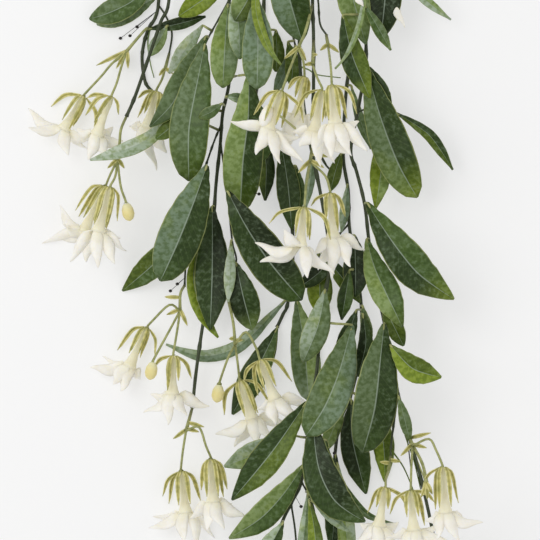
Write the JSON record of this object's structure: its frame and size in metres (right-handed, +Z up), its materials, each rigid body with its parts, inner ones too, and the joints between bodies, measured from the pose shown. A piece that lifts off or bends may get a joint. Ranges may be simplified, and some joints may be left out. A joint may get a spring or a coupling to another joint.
{
  "type": "madagascar jasmine bunch",
  "caption": "Cut bunch of trailing jasmine shoots with leathery paired leaves and clusters of white waxy star flowers, laid down",
  "frame": {"origin": "middle of the bounding box, on the surface that the bunch lies on", "axes": "+Y runs from the trailing tips to the cut woody base, +X to the right seen from above, +Z up from the surface"},
  "size_m": [0.341, 0.7312, 0.1211],
  "materials": {
    "woody_stem": "matte",
    "leaf_green": "satin",
    "petal_cream": "matte",
    "bud_yellow": "matte"
  },
  "bodies": {
    "root": {"woody_base": "woody_stem", "shoot_back_centre": "leaf_green", "shoot_back_right": "leaf_green", "shoot_left_back": "leaf_green", "shoot_left_front": "leaf_green", "shoot_middle": "leaf_green", "shoot_lower": "leaf_green", "shoot_right": "leaf_green", "shoot_front_centre": "leaf_green", "bloom_01": "petal_cream", "bloom_02": "petal_cream", "bloom_03": "petal_cream", "bloom_04": "petal_cream", "bloom_05": "petal_cream", "bloom_06": "petal_cream", "bloom_07": "petal_cream", "bloom_08": "petal_cream", "bloom_09": "petal_cream", "bloom_10": "petal_cream", "bloom_11": "petal_cream", "bloom_12": "petal_cream", "bloom_13": "petal_cream", "bloom_14": "petal_cream", "bloom_15": "petal_cream", "bloom_16": "petal_cream", "bloom_17": "petal_cream", "bloom_18": "petal_cream", "bloom_19": "petal_cream", "bloom_20": "petal_cream", "bud_01": "bud_yellow", "bud_02": "bud_yellow", "bud_03": "bud_yellow"}
  },
  "joints": []
}
